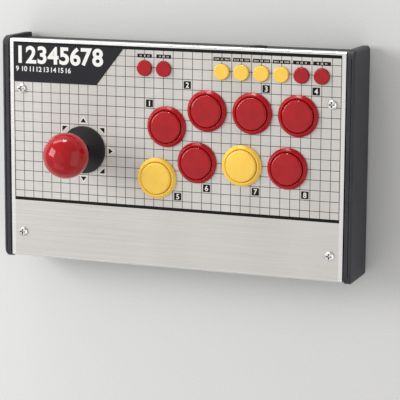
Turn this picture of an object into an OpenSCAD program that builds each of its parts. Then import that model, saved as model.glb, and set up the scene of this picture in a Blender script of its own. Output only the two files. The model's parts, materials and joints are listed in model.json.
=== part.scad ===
// Arcade fight stick: a folded steel panel with eight push buttons, eight small caps and a ball-top lever,
// between two moulded cheeks on a folded steel tray. Millimetres. X runs to the player's right, Y to the
// rear and Z up. The origin is on the table, under the middle of the body.

/* [Body] */
// Width of the steel panel
panel_w = 272; // [268:0.5:300]
// Depth of the steel panel, front to rear
panel_d = 172.5; // [168:0.5:190]
// Height of the panel's face above the table
panel_top = 45; // [42:0.5:60]
// Thickness of the panel's steel
panel_t = 1.6; // [1.2:0.1:1.7]
// Outer radius of the panel's folds, along its front and rear edges
panel_bend = 2; // [1.8:0.1:3]
// Height of the panel's folded lips
panel_lip = 5; // [4:0.5:8]
// Thickness of each side cheek
cheek_t = 5.8; // [5:0.1:9]
// How far the cheeks reach past the panel, front and rear
cheek_over = 1.5; // [0.5:0.1:3]
// How far the cheeks stand above the panel
cheek_rise = 0.6; // [0:0.1:1.5]
// Dark gap between cheek and panel
cheek_gap = 1; // [0.6:0.05:1.4]
// Corner radius of a cheek, seen from its side
cheek_corner = 6; // [4:0.5:10]
// Bevel round the outer face of a cheek
cheek_bevel = 1.5; // [0.8:0.1:2.5]
// Thickness of the tray's steel
tray_t = 1.2; // [0.8:0.1:1.6]
// Outer radius of the tray's folds
tray_bend = 2; // [1.8:0.1:3]
// Height of the rubber feet
foot_h = 3.5; // [3:0.1:6]
// Diameter of the rubber feet
foot_d = 14; // [10:0.5:18]
// Distance of the feet's centres from the tray's sides
foot_inset_x = 24; // [20:0.5:40]
// Distance of the feet's centres from the tray's front and rear
foot_inset_y = 13; // [10:0.5:20]

/* [Screws] */
// Distance of the panel screws from the panel's sides
screw_side = 10; // [9:0.1:12]
// Distance of the front panel screws from the front edge
screw_front = 19.6; // [16:0.1:24]
// Distance of the rear panel screws from the rear edge
screw_rear = 39; // [36:0.1:44]
// Shank diameter of the case screws
screw_d = 4; // [3:0.1:4.5]
// Head diameter of the case screws
head_d = 7; // [6.5:0.1:8]
// Head height of the case screws
head_h = 2.2; // [1.8:0.1:2.8]
// Length of the case screws under the head
screw_len = 12; // [8:0.5:14]
// Diameter of the bosses that take the case screws
boss_d = 10; // [8:0.1:11]
// Shank diameter of the small screws inside
small_d = 3; // [2.5:0.1:3]
// Head diameter of the small screws
small_head_d = 5.5; // [5:0.1:6]
// Head height of the small screws
small_head_h = 1.7; // [1.4:0.1:1.8]
// Length of the small screws under the head
small_len = 6; // [5:0.5:6]

/* [Print] */
// Thickness of the printed film and of the corner label
film_t = 0.2; // [0.1:0.05:0.3]
// Distance of the film from the panel's sides
film_side = 3.05; // [2.8:0.05:4]
// Distance of the film from the panel's rear edge
film_rear = 2.4; // [2.2:0.1:4]
// Depth of the film, front to rear
film_d = 125; // [120:0.5:132]
// Width of the black line along the film's front and rear edges
line_w = 1.6; // [1:0.1:2]
// Length of the corner label along the rear edge
label_rear_w = 93.3; // [80:0.1:95]
// Length of the corner label along its front edge
label_front_w = 70.5; // [60:0.1:75]
// Depth of the corner label, front to rear
label_d = 29.3; // [24:0.1:32]

/* [Buttons] */
// Distance of the rightmost button of the upper row from the panel's right side
button_side = 35.8; // [34:0.1:38]
// Distance of the upper row from the panel's rear edge
button_rear = 48.75; // [47.25:0.25:50.25]
// Distance between neighbours in a row
button_pitch = 36; // [34.5:0.1:37]
// Distance from the upper row to the lower row
row_gap = 40; // [36:0.1:42]
// How far the lower row lies to the left of the upper one
row_shift = 7.8; // [4:0.1:10]
// Step to the left of each row's leftmost button
thumb_dx = 32.6; // [31.5:0.1:34]
// Step to the front of each row's leftmost button
thumb_dy = 13.7; // [12:0.1:15]
// Outer diameter of a button's rim
rim_d = 31.4; // [30:0.1:32]
// Height of a button's rim above the print
rim_h = 3; // [2.4:0.1:4]
// Diameter of a button's plunger
plunger_d = 24.4; // [23:0.1:25]
// How far a plunger stands above its rim
plunger_rise = 2; // [1.6:0.1:3]
// Travel of a plunger
plunger_travel = 3; // [2:0.1:3.4]
// Outer diameter of a button's threaded barrel
barrel_d = 28; // [27.5:0.1:28.4]
// Depth of the barrel under the print
barrel_h = 18; // [17:0.1:20]
// Wall of the barrel
barrel_wall = 1; // [0.8:0.1:1.1]
// Height of the ring nut under the panel
nut_h = 4; // [3:0.1:5]

/* [Caps] */
// Diameter of the small caps
cap_d = 11.9; // [10:0.1:12.5]
// Distance of the rightmost cap from the panel's right side
cap_side = 18.3; // [15.6:0.1:21.6]
// Distance of the row of caps from the panel's rear edge
cap_rear = 18.55; // [16.25:0.05:20.25]
// Distance between neighbouring caps
cap_pitch = 15.6; // [15.4:0.1:16]
// How far the caps stand above the print
cap_rise = 2; // [1.2:0.1:3]
// Travel of a cap
cap_travel = 0.6; // [0.3:0.05:0.8]

/* [Lever] */
// Distance of the lever from the panel's left side
lever_side = 62.15; // [58:0.05:64]
// Distance of the lever from the panel's rear edge
lever_rear = 84.25; // [81.25:0.25:90.25]
// Diameter of the ball
ball_d = 35; // [32:0.5:38]
// Height of the ball's centre above the panel
ball_h = 33; // [31:0.5:40]
// Diameter of the shaft above the panel
shaft_d = 9.5; // [8.8:0.1:10]
// Diameter of the shaft inside the sleeve
journal_d = 8; // [7:0.1:8.2]
// Depth of the tilt axes under the panel's face
pivot_drop = 13; // [12.5:0.1:14]
// Largest tilt each way, in degrees
tilt = 8; // [5:0.5:8.5]
// Diameter of the dust washer
washer_d = 37; // [34:0.5:40]
// Thickness of the dust washer
washer_t = 1.2; // [0.8:0.1:1.6]
// Width and depth of the lever body
lever_w = 44; // [43:0.5:46]
// Outer diameter of the gimbal ring
ring_d = 31; // [30:0.5:31.5]
// Bore of the gimbal ring
ring_bore = 22; // [21:0.5:23]
// Height of the gimbal ring
ring_h = 6; // [5.5:0.1:6.5]
// Diameter of the gimbal's trunnions
trunnion_d = 4; // [3:0.1:4.2]
// Outer diameter of the pivot sleeve
sleeve_d = 15; // [14:0.1:15.5]
// Diameter of the actuator where it meets the switches
actuator_d = 12; // [11:0.1:12.4]
// Wire of the centring spring
spring_wire = 0.9; // [0.6:0.1:1]
// Turns of the centring spring
spring_turns = 3; // [2:0.5:3]

/* [Boards] */
// Thickness of the circuit boards
board_t = 1.6; // [1.2:0.1:1.6]
// Width of the main board
main_w = 100; // [80:1:110]
// Depth of the main board
main_d = 30; // [26:0.5:32]
// Distance of the main board from the tray's front wall
main_front = 6; // [4:0.5:8]
// Place of the main board, from the panel's middle to the right
main_x = 20; // [0:1:30]
// Height of the main board's standoffs
standoff_h = 5; // [5:0.1:8]
// Diameter of the main board's standoffs
standoff_d = 6; // [5:0.1:7]
// Depth of the board under the caps, front to rear
menu_d = 15; // [14:0.1:17]
// Bore of the cable grommet
cable_d = 5.2; // [4:0.1:6]
// Distance of the cable grommet from the panel's right side
cable_side = 76; // [46:1:96]
// Height of the cable grommet above the table
cable_z = 20; // [16:0.5:24]

/* [Hidden] */
$fn = 64;

// Clearances: overrun of cuts, running fit on the radius, and room between separate pieces
over = 1;
fit = 0.05;
loose = 0.1;
gap = 0.3;

// Colours, as the photo shows them
steel_colour = "silver";
black_colour = [0.1, 0.1, 0.11];
charcoal_colour = [0.2, 0.2, 0.23];
red_colour = [0.75, 0.07, 0.1];
yellow_colour = [0.98, 0.78, 0.2];
board_colour = [0.05, 0.35, 0.2];
chrome_colour = [0.85, 0.86, 0.88];

// Body
panel_under = panel_top - panel_t;
print_top = panel_top + film_t;
lip_bottom = panel_top - panel_lip;
tray_w = panel_w + 2 * cheek_gap - 2 * gap;
tray_d = panel_d - 2 * panel_t - 2 * gap;
tray_bottom = foot_h;
tray_floor = foot_h + tray_t;
tray_wall_top = panel_under - gap;
cheek_in = panel_w / 2 + cheek_gap;
cheek_d = panel_d + 2 * cheek_over;
cheek_top = panel_top + cheek_rise;
cheek_lift = 0.5;
cheek_bottom = foot_h - cheek_lift;
cheek_foot_r = 2;
cheek_inner_bevel = 0.5;
groove_w = 0.8;
groove_h = 0.8;
groove_in = 1.4;

// Case screws
screw_x = panel_w / 2 - screw_side;
screw_y = [-panel_d / 2 + screw_front, panel_d / 2 - screw_rear];
screw_clear_d = screw_d + 2 * gap;
boss_hole_d = screw_d + 2 * loose;
boss_web_t = 3;
head_room_d = head_d + 2 * gap;
cross_w = 1;
cross_reach_share = 0.62;
cross_depth_share = 0.6;
head_round = 0.7;

// Film and label
film_w = panel_w - 2 * film_side;
film_rear_y = panel_d / 2 - film_rear;
film_front_y = film_rear_y - film_d;

// Buttons: from the left, the upper row and then the lower row
button_x = panel_w / 2 - button_side - 2 * button_pitch;
button_y = panel_d / 2 - button_rear;
lower_x = button_x - row_shift;
lower_y = button_y - row_gap;
BUTTONS = [
    [button_x - thumb_dx, button_y - thumb_dy],
    [button_x, button_y],
    [button_x + button_pitch, button_y],
    [button_x + 2 * button_pitch, button_y],
    [lower_x - thumb_dx, lower_y - thumb_dy],
    [lower_x, lower_y],
    [lower_x + button_pitch, lower_y],
    [lower_x + 2 * button_pitch, lower_y]
];
BUTTON_COLOURS = [
    red_colour, red_colour, red_colour, red_colour, yellow_colour, red_colour, yellow_colour, red_colour
];
barrel_hole_d = barrel_d + 2 * fit + 2 * gap;
plunger_clear = 0.25;
plunger_bore_d = plunger_d + 2 * plunger_clear;
plunger_wall = 1.4;
plunger_edge = 1.6;
plunger_dome = 0.7;
plunger_flange_d = barrel_d - 2 * barrel_wall - 2 * loose;
plunger_flange_h = 1.2;
plunger_skirt = 10;
collar_drop = 3;
barrel_floor_t = 1.5;
rim_edge_h = 1;
rim_round = 0.9;
rim_crest_share = 0.3;
pusher_d = 4.4;
pusher_hole_d = pusher_d + 2 * gap;
pusher_reach = 0.8;
nut_over = 0.4;
ring_nut_d = rim_d + nut_over;
nut_bore_d = barrel_d + 2 * loose;
nut_notches = 8;
nut_notch_w = 3;
nut_notch_t = 0.8;
barrel_bottom = print_top - barrel_h;
plunger_top = print_top + rim_h + plunger_rise;
switch_l = 19.8;
switch_t = 6.4;
switch_h = 10.2;
switch_bottom = barrel_bottom - switch_h;
well_depth = pusher_reach + plunger_travel + loose;
tab_w = 4.8;
tab_t = 0.8;
tab_h = 5;
tab_x = 5.5;
tab_bottom = switch_bottom - tab_h;

// Small caps: two at the left, and six more after a space of two
CAP_STEPS = [0, 1, 4, 5, 6, 7, 8, 9];
cap_x = panel_w / 2 - cap_side - CAP_STEPS[7] * cap_pitch;
cap_y = panel_d / 2 - cap_rear;
CAP_COLOURS = [
    red_colour, red_colour, yellow_colour, yellow_colour, yellow_colour, yellow_colour, red_colour, red_colour
];
function cap_place(i) = [cap_x + CAP_STEPS[i] * cap_pitch, cap_y];
cap_clear = 0.25;
cap_flange_over = 1;
cap_flange_d = cap_d + 2 * cap_flange_over;
cap_flange_h = 1;
cap_flange_top = panel_under - gap;
cap_stem_d = 3.2;
cap_edge = 0.8;
cap_stem_len = 2.5;
cap_stem_in = 0.5;
cap_stem_bottom = cap_flange_top - cap_flange_h - cap_stem_len;
tact_w = 6;
tact_h = 3.6;
tact_top = cap_stem_bottom + cap_stem_in;
tact_bottom = tact_top - tact_h;
tact_well = cap_stem_in + cap_travel + gap;
menu_top = tact_bottom;
menu_bottom = menu_top - board_t;
menu_end = 15;
menu_left = cap_place(0)[0] - menu_end;
menu_right = cap_place(7)[0] + menu_end;
menu_stud_off = 11;
MENU_STUDS = [
    [cap_place(0)[0] - menu_stud_off, cap_y],
    [cap_place(1)[0] + menu_stud_off, cap_y],
    [cap_place(2)[0] - menu_stud_off, cap_y],
    [cap_place(7)[0] + menu_stud_off, cap_y]
];
menu_stud_d = 5.5;

// Lever, in heights from the panel down and from the tray up
lever_x = lever_side - panel_w / 2;
lever_y = panel_d / 2 - lever_rear;
pivot_z = panel_top - pivot_drop;
shoulder_h = 2.2;
shoulder_d = 7;
plate_t = 1.6;
plate_top = panel_under - shoulder_h;
plate_bottom = plate_top - plate_t;
plate_w = 56;
plate_d = 92;
plate_hole_d = 26;
stud_in = 8;
stud_x = plate_w / 2 - stud_in;
stud_y = plate_d / 2 - stud_in;
stud_d = 4;
stud_len = 4.5;
stud_bottom = plate_bottom - stud_len;
hex_nut_af = 7;
hex_nut_h = 3.2;
trunnion_hole_d = trunnion_d + 2 * fit;
cavity_clear = 1.5;
cavity_d = ring_d + 2 * cavity_clear;
cavity_floor = pivot_z - ring_h / 2 - ring_d / 2 * sin(tilt) - gap;
body_floor_t = 1.6;
body_bottom = cavity_floor - body_floor_t;
gate_gap = 0.6;
gate_t = 2;
gate_bottom = tray_floor + gate_gap;
gate_top = gate_bottom + gate_t;
lever_board_top = gate_top + board_t;
post_w = 6.5;
post_x = lever_w / 2 - post_w / 2;
peg_d = 4;
peg_hole_d = peg_d + 2 * loose;
body_screw_x = 18.5;
journal_bore_d = journal_d + 2 * fit;
clip_d = 11.2;
clip_t = 0.8;
clip_groove = 0.8;
clip_mouth = 60;
clip_z = gate_top + clip_d / 2 * sin(tilt) + gap;
shaft_bottom = gate_bottom + gap;
shaft_end_bevel = 0.6;
actuator_bottom = clip_z + clip_t + loose;
actuator_reach = actuator_d / 2 + (pivot_z - actuator_bottom) * tan(tilt);
actuator_flange_d = 17;
actuator_flange_h = 0.8;
lever_switch_h = 5.8;
lever_switch_l = 12.8;
lever_switch_t = 6.2;
lever_switch_top = lever_board_top + lever_switch_h;
nub_w = 2;
nub_len = 0.4;
nub_x = actuator_reach + loose;
lever_switch_x = nub_x + nub_len;
corner_tilt = acos(cos(tilt) * cos(tilt));
actuator_flange_z = lever_switch_top + actuator_flange_d / 2 * sin(corner_tilt) + gap;
actuator_top = actuator_flange_z + actuator_flange_h;
seat_t = 0.8;
seat_top = body_bottom;
seat_bottom = seat_top - seat_t;
seat_d = 24;
seat_bore_d = journal_d + 2 * (pivot_z - seat_bottom) * tan(corner_tilt) + 2 * gap;
body_bore_d = 20;
sleeve_room = 1;
sleeve_top = plate_bottom - sleeve_room;
sleeve_bottom = seat_top + sleeve_d / 2 * sin(corner_tilt) + 2 * gap;
gate_hole_w = journal_d + 2 * (pivot_z - gate_bottom) * tan(tilt) + 2 * gap;
board_hole_d = clip_d + 2 * (pivot_z - gate_top) * tan(corner_tilt) + 2 * gap;
spring_r = (actuator_flange_d / 2 + journal_d / 2) / 2 + spring_wire;
spring_low = actuator_top + loose + spring_wire / 2;
spring_high = seat_bottom - loose - spring_wire / 2;
spring_sides = 6;
spring_steps = 24;
washer_z = print_top + gap / 2;
washer_mid = washer_z + washer_t / 2;
washer_edge = 0.5;
washer_throw = (washer_mid - pivot_z) * tan(tilt);
washer_bore_d = shaft_d / cos(corner_tilt) + washer_t * tan(corner_tilt) + 2 * gap;
shield_t = 1;
shield_top = panel_under - gap;
shield_d = 32;
shield_bore_d = shaft_d + 2 * washer_throw + 2 * gap;
panel_bore_d = shaft_d / cos(corner_tilt) + 2 * (print_top - pivot_z) * tan(corner_tilt) + 2 * gap;
ball_z = panel_top + ball_h;
ball_neck_d = 13;
ball_neck_h = 1.5;
ball_bottom = ball_z - ball_d / 2 - ball_neck_h / 2;
tip_d = 6;
tip_len = 12;
tip_hole_d = tip_d + 2 * fit;

// Lever board: it reaches out to the front for its wire header
lever_board_reach = 10;
header_w = 12;
header_d = 5;
header_h = 6;

// Main board and wiring
main_bottom = tray_floor + standoff_h;
main_top = main_bottom + board_t;
main_y = -tray_d / 2 + tray_t + main_front + main_d / 2;
main_hole_in = 4;
main_hole_x = main_w / 2 - main_hole_in;
main_hole_y = main_d / 2 - main_hole_in;
chip_w = 10;
chip_h = 1.6;
crystal_l = 8;
crystal_w = 4;
crystal_h = 3;
capacitor_d = 6;
capacitor_h = 8;
wire_d = 1.6;
branch_d = 2.6;
trunk_d = 4.6;
floor_room = 0.3;
trunk_z = tray_floor + floor_room + trunk_d / 2;
trunk_y = main_y + main_d / 2 + 2 * trunk_d;
header_y = main_y + main_d / 2 - header_d / 2;
button_header_x = main_x + main_w / 4;
lever_header_x = main_x - main_w / 2 + main_hole_in + header_w;
menu_header_x = lever_header_x + header_w + header_d;
menu_wire_x = MENU_STUDS[0][0] + small_head_d / 2 + header_w / 2 + gap;
menu_wire_y = cap_y;
lever_wire_y = lever_y - lever_w / 2 - lever_board_reach;

// Grommet
cable_x = panel_w / 2 - cable_side;
grommet_flange_d = 13;
grommet_neck_d = 10;
grommet_flange_t = 1.2;
grommet_boss_d = 9;
grommet_boss_l = 5;

// Shared shapes

// Half a case seen from one end: w wide, from z0 up to z1, with its two upper corners rounded
module arch(w, z0, z1, r) {
    translate([-w / 2, z0])
        square([w, z1 - z0 - r]);
    translate([r - w / 2, z0])
        square([w - 2 * r, z1 - z0]);
    for (side = [-1, 1])
        translate([side * (w / 2 - r), z1 - r])
            circle(r);
}

// A slab whose front and rear upper edges are rounded
module folded_slab(w, d, z0, z1, r) {
    translate([-w / 2, 0, 0])
        rotate([90, 0, 90])
            linear_extrude(w)
                arch(d, z0, z1, r);
}

// A bar of round section from one point to another
module bar(a, b, d) {
    v = b - a;
    flat = norm([v[0], v[1]]);
    translate(a)
        rotate([0, atan2(flat, v[2]), atan2(v[1], v[0])])
            cylinder(d = d, h = norm(v));
}

// A wire along a list of points, with a round elbow a little thicker than the wire at each corner
module wire(points, d) {
    for (i = [1:len(points) - 1])
        bar(points[i - 1], points[i], d);
    for (i = [1:len(points) - 2])
        translate(points[i])
            sphere(d = d + 2 * fit);
}

// A cross-head screw that points down from z = 0, with its head above
module screw(shank_d, head_d, head_h, len) {
    difference() {
        union() {
            translate([0, 0, -len])
                cylinder(d = shank_d, h = len);
            cylinder(d = head_d, h = head_h - head_round);
            translate([0, 0, head_h - head_round])
                cylinder(d1 = head_d, d2 = head_d - 2 * head_round, h = head_round);
        }
        for (turn = [0, 90])
            rotate([0, 0, turn])
                translate([-head_d * cross_reach_share / 2, -cross_w / 2, head_h * (1 - cross_depth_share)])
                    cube([head_d * cross_reach_share, cross_w, head_h]);
    }
}

// Children at the four corners of a rectangle
module corners(x, y) {
    for (sx = [-1, 1])
        for (sy = [-1, 1])
            translate([sx * x, sy * y, 0])
                children();
}

// Children at the four panel screws
module screw_places() {
    for (sx = [-1, 1])
        for (y = screw_y)
            translate([sx * screw_x, y, 0])
                children();
}

module at_lever() {
    translate([lever_x, lever_y, 0])
        children();
}

// Body

module top_panel() {
    color(steel_colour)
        difference() {
            union() {
                difference() {
                    folded_slab(panel_w, panel_d, lip_bottom, panel_top, panel_bend);
                    folded_slab(
                        panel_w + 2 * over, panel_d - 2 * panel_t, lip_bottom - over, panel_under,
                        panel_bend - panel_t
                    );
                }
                at_lever()
                    corners(stud_x, stud_y) {
                        translate([0, 0, plate_top])
                            cylinder(d = shoulder_d, h = shoulder_h);
                        translate([0, 0, stud_bottom])
                            cylinder(d = stud_d, h = panel_under - stud_bottom);
                    }
                for (p = MENU_STUDS)
                    translate([p[0], p[1], menu_top])
                        cylinder(d = menu_stud_d, h = panel_under - menu_top);
            }
            for (p = BUTTONS)
                translate([p[0], p[1], panel_under - over])
                    cylinder(d = barrel_hole_d, h = panel_t + 2 * over);
            for (i = [0:7])
                translate([cap_place(i)[0], cap_place(i)[1], panel_under - over])
                    cylinder(d = cap_d + 2 * cap_clear, h = panel_t + 2 * over);
            for (p = MENU_STUDS)
                translate([p[0], p[1], menu_top - over])
                    cylinder(d = small_d + 2 * loose, h = small_len - board_t + over + gap);
            at_lever()
                translate([0, 0, panel_under - over])
                    cylinder(d = panel_bore_d, h = panel_t + 2 * over);
            screw_places()
                translate([0, 0, panel_under - over])
                    cylinder(d = screw_clear_d, h = panel_t + 2 * over);
        }
}

module printed_film() {
    color([0.85, 0.84, 0.82])
        difference() {
            translate([-film_w / 2, film_front_y, panel_top])
                cube([film_w, film_d, film_t]);
            for (p = BUTTONS)
                translate([p[0], p[1], panel_top - over])
                    cylinder(d = barrel_hole_d, h = film_t + 2 * over);
            for (i = [0:7])
                translate([cap_place(i)[0], cap_place(i)[1], panel_top - over])
                    cylinder(d = cap_d + 2 * cap_clear, h = film_t + 2 * over);
            at_lever()
                translate([0, 0, panel_top - over])
                    cylinder(d = panel_bore_d, h = film_t + 2 * over);
            screw_places()
                translate([0, 0, panel_top - over])
                    cylinder(d = head_room_d, h = film_t + 2 * over);
        }
}

module corner_label() {
    color(charcoal_colour)
        translate([-film_w / 2, film_rear_y - line_w, print_top])
            linear_extrude(film_t)
                polygon([
                    [0, 0],
                    [0, -label_d],
                    [label_front_w, -label_d],
                    [label_rear_w, 0]
                ]);
}

// One rounded outline of a cheek, seen from its side, grown inwards by a bevel
module cheek_outline(inset, t) {
    low = cheek_bottom + inset;
    high = cheek_top - inset;
    reach = cheek_d / 2 - inset;
    foot_r = max(cheek_foot_r - inset / 2, inset / 2);
    rotate([90, 0, 90])
        linear_extrude(t)
            hull() {
                for (side = [-1, 1]) {
                    translate([side * (reach - cheek_corner + inset), high - cheek_corner + inset])
                        circle(cheek_corner - inset, $fn = 32);
                    translate([side * (reach - foot_r), low + foot_r])
                        circle(foot_r, $fn = 32);
                }
            }
}

module right_cheek_solid() {
    skin = cheek_t - cheek_bevel;
    difference() {
        union() {
            translate([cheek_in, 0, 0])
                hull() {
                    cheek_outline(0, skin);
                    cheek_outline(cheek_bevel, cheek_t);
                }
            for (y = screw_y) {
                translate([screw_x, y, tray_floor])
                    cylinder(d = boss_d, h = panel_under - tray_floor);
                translate([screw_x, y - boss_web_t / 2, tray_floor])
                    cube([cheek_in + cheek_bevel - screw_x, boss_web_t, panel_under - gap - tray_floor]);
            }
        }
        // dark inner bevel beside the panel
        translate([cheek_in, -cheek_d / 2 - over, cheek_top])
            rotate([-90, 0, 0])
                cylinder(r = cheek_inner_bevel, h = cheek_d + 2 * over, $fn = 4);
        // fine groove along the top
        translate([cheek_in + skin - groove_in, -cheek_d / 2 + cheek_corner, cheek_top - groove_h])
            cube([groove_w, cheek_d - 2 * cheek_corner, groove_h + over]);
        for (y = screw_y) {
            translate([screw_x, y, panel_under - screw_len])
                cylinder(d = boss_hole_d, h = screw_len + over);
            translate([screw_x, y, tray_floor - over])
                cylinder(d = boss_hole_d, h = screw_len + over);
        }
    }
}

module right_cheek() {
    color(charcoal_colour)
        right_cheek_solid();
}

module left_cheek() {
    color(charcoal_colour)
        mirror([1, 0, 0])
            right_cheek_solid();
}

module chassis_tray() {
    color(black_colour)
        difference() {
            union() {
                difference() {
                    translate([0, 0, tray_bottom + tray_wall_top])
                        mirror([0, 0, 1])
                            folded_slab(tray_w, tray_d, tray_bottom, tray_wall_top, tray_bend);
                    translate([0, 0, tray_floor + tray_wall_top + over])
                        mirror([0, 0, 1])
                            folded_slab(
                                tray_w + 2 * over, tray_d - 2 * tray_t, tray_floor, tray_wall_top + over,
                                tray_bend - tray_t
                            );
                }
                translate([main_x, main_y, tray_floor])
                    corners(main_hole_x, main_hole_y)
                        cylinder(d = standoff_d, h = standoff_h);
            }
            translate([main_x, main_y, main_bottom - small_len + board_t - gap])
                corners(main_hole_x, main_hole_y)
                    cylinder(d = small_d + 2 * loose, h = small_len + over);
            screw_places()
                translate([0, 0, tray_bottom - over])
                    cylinder(d = screw_clear_d, h = tray_t + 2 * over);
            translate([cable_x, tray_d / 2 - tray_t - over, cable_z])
                rotate([-90, 0, 0])
                    cylinder(d = grommet_neck_d, h = tray_t + 2 * over);
        }
}

module rubber_feet() {
    color(black_colour)
        corners(tray_w / 2 - foot_inset_x, tray_d / 2 - foot_inset_y)
            cylinder(d1 = foot_d - foot_h / 2, d2 = foot_d, h = foot_h);
}

module panel_screws() {
    color(chrome_colour)
        screw_places()
            translate([0, 0, panel_top])
                screw(screw_d, head_d, head_h, screw_len);
}

module base_screws() {
    color(steel_colour)
        screw_places()
            translate([0, 0, tray_bottom])
                mirror([0, 0, 1])
                    screw(screw_d, head_d, head_h, screw_len);
}

module cable_grommet() {
    color(black_colour)
        translate([cable_x, tray_d / 2 - tray_t, cable_z])
            rotate([-90, 0, 0])
                difference() {
                    union() {
                        translate([0, 0, -grommet_flange_t])
                            cylinder(d = grommet_flange_d, h = grommet_flange_t);
                        cylinder(d = grommet_neck_d - 2 * fit, h = tray_t);
                        translate([0, 0, tray_t])
                            cylinder(d = grommet_flange_d, h = grommet_flange_t);
                        translate([0, 0, -grommet_flange_t - grommet_boss_l])
                            cylinder(d = grommet_boss_d, h = grommet_boss_l + grommet_flange_t);
                    }
                    translate([0, 0, -grommet_flange_t - grommet_boss_l - over])
                        cylinder(d = cable_d, h = grommet_boss_l + tray_t + 2 * grommet_flange_t + 2 * over);
                }
}

// Buttons, made about their own axis, in the panel's heights

// Plunger: a domed cap whose round edge runs smoothly into the dome, a skirt, a catching flange and a pusher
module plunger() {
    r = plunger_d / 2;
    dome_r = (r * r + plunger_dome * plunger_dome) / (2 * plunger_dome);
    dome_z = plunger_top - dome_r;
    edge_x = r - plunger_edge;
    edge_z = dome_z + sqrt(pow(dome_r - plunger_edge, 2) - edge_x * edge_x);
    past = (dome_r + over) / (dome_r - plunger_edge);
    skirt_bottom = print_top - plunger_skirt;
    flange_top = print_top - collar_drop - gap;
    hollow_top = plunger_top - plunger_wall - plunger_edge;
    union() {
        difference() {
            rotate_extrude() {
                translate([0, skirt_bottom])
                    square([r, edge_z - skirt_bottom]);
                translate([edge_x, edge_z])
                    circle(plunger_edge);
                intersection() {
                    translate([0, dome_z])
                        circle(dome_r, $fn = 256);
                    polygon([
                        [0, edge_z],
                        [edge_x, edge_z],
                        [edge_x * past, dome_z + (edge_z - dome_z) * past],
                        [0, plunger_top + over]
                    ]);
                }
            }
            translate([0, 0, skirt_bottom - over])
                cylinder(r = r - plunger_wall, h = hollow_top - skirt_bottom + over);
        }
        translate([0, 0, flange_top - plunger_flange_h])
            difference() {
                cylinder(d = plunger_flange_d, h = plunger_flange_h);
                translate([0, 0, -over])
                    cylinder(r = r - plunger_wall, h = plunger_flange_h + 2 * over);
            }
        translate([0, 0, barrel_bottom - pusher_reach])
            cylinder(d = pusher_d, h = plunger_top - plunger_wall - barrel_bottom + pusher_reach);
    }
}

module button(i) {
    color(BUTTON_COLOURS[i])
        translate([BUTTONS[i][0], BUTTONS[i][1], 0])
            plunger();
}

// Housing: rim, threaded barrel and floor, with a collar that keeps the plunger in
module housing(i) {
    r0 = plunger_bore_d / 2;
    r1 = rim_d / 2;
    crest = r0 + (r1 - r0) * rim_crest_share;
    color(BUTTON_COLOURS[i])
        translate([BUTTONS[i][0], BUTTONS[i][1], 0])
            difference() {
                union() {
                    translate([0, 0, print_top])
                        rotate_extrude() {
                            polygon([
                                [0, 0],
                                [r1, 0],
                                [r1, rim_edge_h],
                                [crest + rim_round * sin(30), rim_h - rim_round + rim_round * cos(30)],
                                [crest - rim_round, rim_h - rim_round],
                                [0, rim_h - rim_round]
                            ]);
                            translate([crest, rim_h - rim_round])
                                circle(rim_round);
                        }
                    translate([0, 0, barrel_bottom])
                        cylinder(d = barrel_d, h = barrel_h);
                }
                translate([0, 0, print_top - collar_drop - over])
                    cylinder(d = plunger_bore_d, h = collar_drop + rim_h + 2 * over);
                translate([0, 0, barrel_bottom + barrel_floor_t])
                    cylinder(d = barrel_d - 2 * barrel_wall, h = barrel_h - barrel_floor_t - collar_drop);
                translate([0, 0, barrel_bottom - over])
                    cylinder(d = pusher_hole_d, h = barrel_floor_t + 2 * over);
            }
}

module ring_nuts() {
    color(black_colour)
        for (p = BUTTONS)
            translate([p[0], p[1], panel_under - nut_h])
                difference() {
                    cylinder(d = ring_nut_d, h = nut_h);
                    translate([0, 0, -over])
                        cylinder(d = nut_bore_d, h = nut_h + 2 * over);
                    for (k = [0:nut_notches - 1])
                        rotate([0, 0, k * 360 / nut_notches])
                            translate([ring_nut_d / 2 - nut_notch_t, -nut_notch_w / 2, -over])
                                cube([ring_nut_d, nut_notch_w, nut_h / 2 + over]);
                }
}

module button_switches() {
    color(black_colour)
        for (p = BUTTONS)
            translate([p[0], p[1], switch_bottom]) {
                difference() {
                    translate([-switch_l / 2, -switch_t / 2, 0])
                        cube([switch_l, switch_t, switch_h]);
                    translate([0, 0, switch_h - well_depth])
                        cylinder(d = pusher_hole_d, h = well_depth + over);
                }
                for (side = [-1, 1])
                    translate([side * tab_x - tab_w / 2, -tab_t / 2, -tab_h])
                        cube([tab_w, tab_t, tab_h]);
            }
}

// Small caps

module cap(i) {
    r = cap_d / 2;
    top = print_top + cap_rise;
    color(CAP_COLOURS[i])
        translate([cap_place(i)[0], cap_place(i)[1], 0]) {
            rotate_extrude() {
                translate([0, cap_flange_top])
                    square([r, top - cap_edge - cap_flange_top]);
                translate([0, cap_flange_top])
                    square([r - cap_edge, top - cap_flange_top]);
                translate([r - cap_edge, top - cap_edge])
                    circle(cap_edge);
            }
            translate([0, 0, cap_flange_top - cap_flange_h])
                cylinder(d = cap_flange_d, h = cap_flange_h);
            translate([0, 0, cap_stem_bottom])
                cylinder(d = cap_stem_d, h = cap_flange_top - cap_stem_bottom);
        }
}

module menu_board() {
    color(board_colour)
        difference() {
            translate([menu_left, cap_y - menu_d / 2, menu_bottom])
                cube([menu_right - menu_left, menu_d, board_t]);
            for (p = MENU_STUDS)
                translate([p[0], p[1], menu_bottom - over])
                    cylinder(d = small_d + 2 * gap, h = board_t + 2 * over);
        }
}

module menu_switches() {
    color(black_colour)
        for (i = [0:7])
            translate([cap_place(i)[0], cap_place(i)[1], tact_bottom])
                difference() {
                    translate([-tact_w / 2, -tact_w / 2, 0])
                        cube([tact_w, tact_w, tact_h]);
                    translate([0, 0, tact_h - tact_well])
                        cylinder(d = cap_stem_d + 2 * gap, h = tact_well + over);
                }
}

// Lever

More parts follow.
